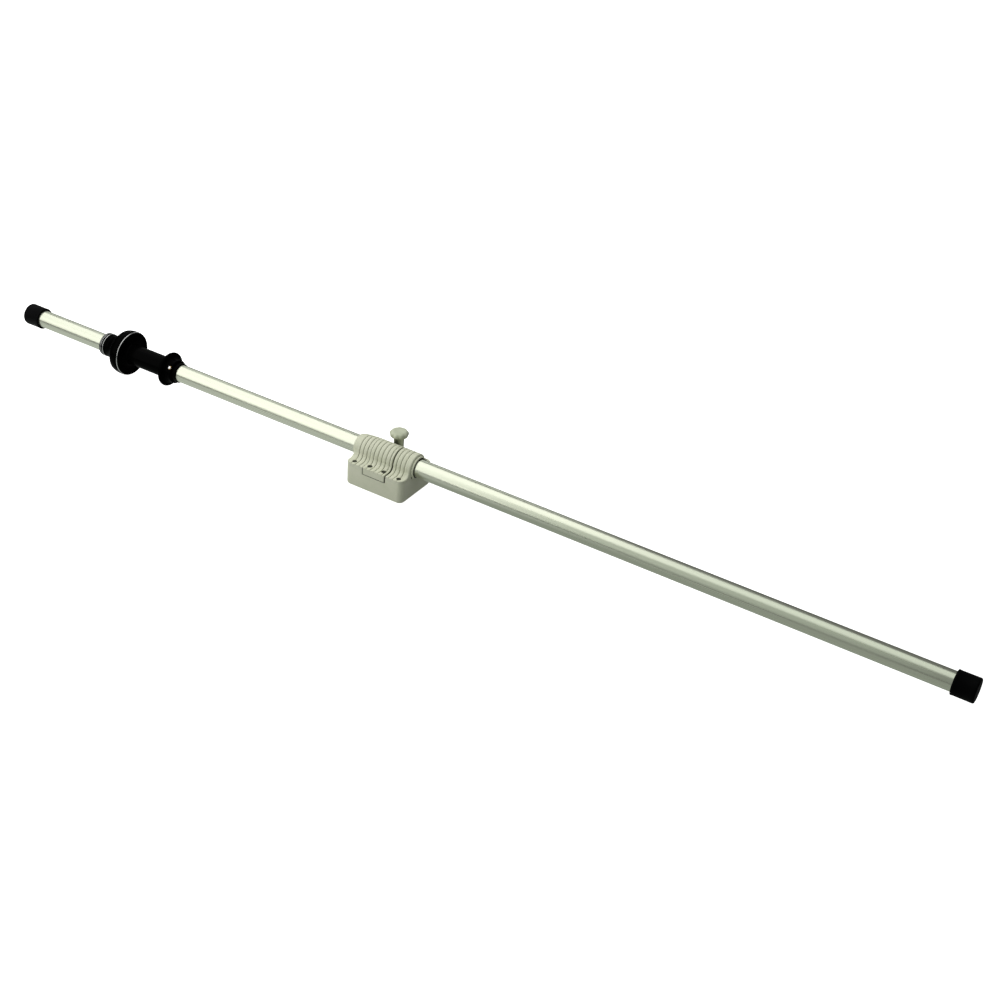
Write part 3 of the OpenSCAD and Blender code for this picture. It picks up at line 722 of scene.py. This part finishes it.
def lock_well(cutter, radius, low, high):
    """Round well in the hub round the lock screw's axis, between two radii of the grip."""
    side = Vector((1, 0, 0))
    across = LOCK_OUT.cross(side)
    loops = []
    for out in (low, high):
        centre = Vector((LOCK_X, 0, AXIS_Z)) + LOCK_OUT * out
        loops.append([tuple(centre + side * px + across * py)
                      for px, py in arc(0, 0, radius, 0, 360, 32)[:-1]])
    loft(cutter, loops)


bm = bmesh.new()
lathe(bm, hub_outline(), GRIP_STEPS)
hub = mesh_object("hub_moulding", bm, 40)
carve(hub, lock_well, LOCK_WELL_R, HUB_R - 1.4, HUB_R + 6)
carve(hub, lock_well, LOCK_BORE_R, SHELL_R - PAST, HUB_R)
piece(hub, "grip", "grip_black", "grip_hub")


# ---- stage, lights and camera, in metres ----

def aim(obj, place, target):
    obj.location = place
    obj.rotation_euler = (Vector(target) - Vector(place)).to_track_quat("-Z", "Y").to_euler()


def softbox(name, place, target, width, height, radiance, colour):
    """Rectangular lamp whose power follows from its size and radiance."""
    light = bpy.data.lights.new(name, "AREA")
    light.shape = "RECTANGLE"
    light.size, light.size_y = width, height
    light.energy = radiance * math.pi * width * height
    light.color = colour
    obj = bpy.data.objects.new(name, light)
    bpy.context.scene.collection.objects.link(obj)
    aim(obj, place, target)


FLOOR_HALF, FLOOR_DROP = 9000, 0.05   # in millimetres

bm = bmesh.new()
bmesh.ops.create_grid(bm, x_segments=8, y_segments=8, size=FLOOR_HALF)
bmesh.ops.translate(bm, vec=(0, 0, -FLOOR_DROP), verts=bm.verts)
floor = mesh_object("floor", bm)
floor_look = Shader("floor_table")
floor_tint = floor_look.span(floor_look.noise(2.0, 2), 0, 1)
floor_look.link(floor_look.blend(floor_tint, (0.91, 0.91, 0.91), (0.93, 0.93, 0.93)),
                floor_look.base.inputs["Base Color"])
floor_look.base.inputs["Roughness"].default_value = 0.9
floor_look.base.inputs["Specular IOR Level"].default_value = 0.0
floor_look.base.inputs["Emission Color"].default_value = (1, 1, 1, 1)
floor_look.base.inputs["Emission Strength"].default_value = 0.95
floor.data.materials.append(floor_look.material)
# the table shows to the camera only, and the two bounce lamps below it stand for its light
floor.visible_diffuse = False
floor.visible_glossy = False
floor.visible_shadow = False

world = bpy.data.worlds.new("studio")
world.use_nodes = True
backdrop = world.node_tree.nodes["Background"]
backdrop.inputs["Color"].default_value = (0.97, 1, 0.97, 1)
# a white wall to the camera, and a faint fill light to everything else
ray = world.node_tree.nodes.new("ShaderNodeLightPath").outputs["Is Camera Ray"]
strength = world.node_tree.nodes.new("ShaderNodeMapRange")
strength.inputs["To Min"].default_value = 0.15
strength.inputs["To Max"].default_value = 1.1
world.node_tree.links.new(ray, strength.inputs["Value"])
world.node_tree.links.new(strength.outputs["Result"], backdrop.inputs["Strength"])
bpy.context.scene.world = world

WARM, COOL, GREEN = (0.99, 0.99, 0.965), (0.95, 1, 0.95), (0.9, 1, 0.88)
softbox("overhead", (-1.15, 0.15, 1.3), (-1.15, 0.15, 0), 2.1, 1.7, 1.28, WARM)
softbox("overhead_right", (0.35, 0.05, 1.3), (0.35, 0.05, 0), 0.9, 1.5, 0.78, COOL)
softbox("front_left", (-1.35, -1.15, 0.75), (-1.35, 0, 0.05), 1.8, 1.5, 1.42, WARM)
softbox("front", (0.05, -1.15, 0.75), (0.05, 0, 0.05), 1.0, 1.5, 0.33, GREEN)
softbox("back_left", (-1.0, 1.3, 0.6), (-0.3, 0, 0.05), 1.4, 0.7, 0.6, COOL)
softbox("bounce", (-1.4, -1.7, -0.6), (-1.4, -1.7, 0), 2.0, 4.4, 0.44, COOL)
softbox("bounce_right", (0.2, -1.7, -0.6), (0.2, -1.7, 0), 1.2, 4.4, 0.2, GREEN)

AIM_X = 0.1714
AIM_ABOVE_AXIS = 0.65               # in millimetres
CAMERA_AZIMUTH = math.radians(29.09)
CAMERA_ELEVATION = math.radians(32.81)
CAMERA_ROLL = math.radians(4.96)
CAMERA_DISTANCE = 2.0205
FOCAL_LENGTH = 57.37

forward = Vector((-math.sin(CAMERA_AZIMUTH) * math.cos(CAMERA_ELEVATION),
                  math.cos(CAMERA_AZIMUTH) * math.cos(CAMERA_ELEVATION),
                  -math.sin(CAMERA_ELEVATION)))
level = Vector((math.cos(CAMERA_AZIMUTH), math.sin(CAMERA_AZIMUTH), 0))
lift = level.cross(forward)
right = level * math.cos(CAMERA_ROLL) + lift * math.sin(CAMERA_ROLL)
up = lift * math.cos(CAMERA_ROLL) - level * math.sin(CAMERA_ROLL)
camera_data = bpy.data.cameras.new("camera")
camera_data.lens = FOCAL_LENGTH
camera_data.sensor_width = 36
camera_data.clip_end = 50
camera = bpy.data.objects.new("camera", camera_data)
bpy.context.scene.collection.objects.link(camera)
place = Vector((AIM_X, 0, (AXIS_Z + AIM_ABOVE_AXIS) * MM)) - forward * CAMERA_DISTANCE
camera.matrix_world = Matrix.Translation(place) @ Matrix((right, up, -forward)).transposed().to_4x4()
bpy.context.scene.camera = camera

bpy.context.scene.view_settings.view_transform = "Standard"
bpy.context.scene.view_settings.look = "None"
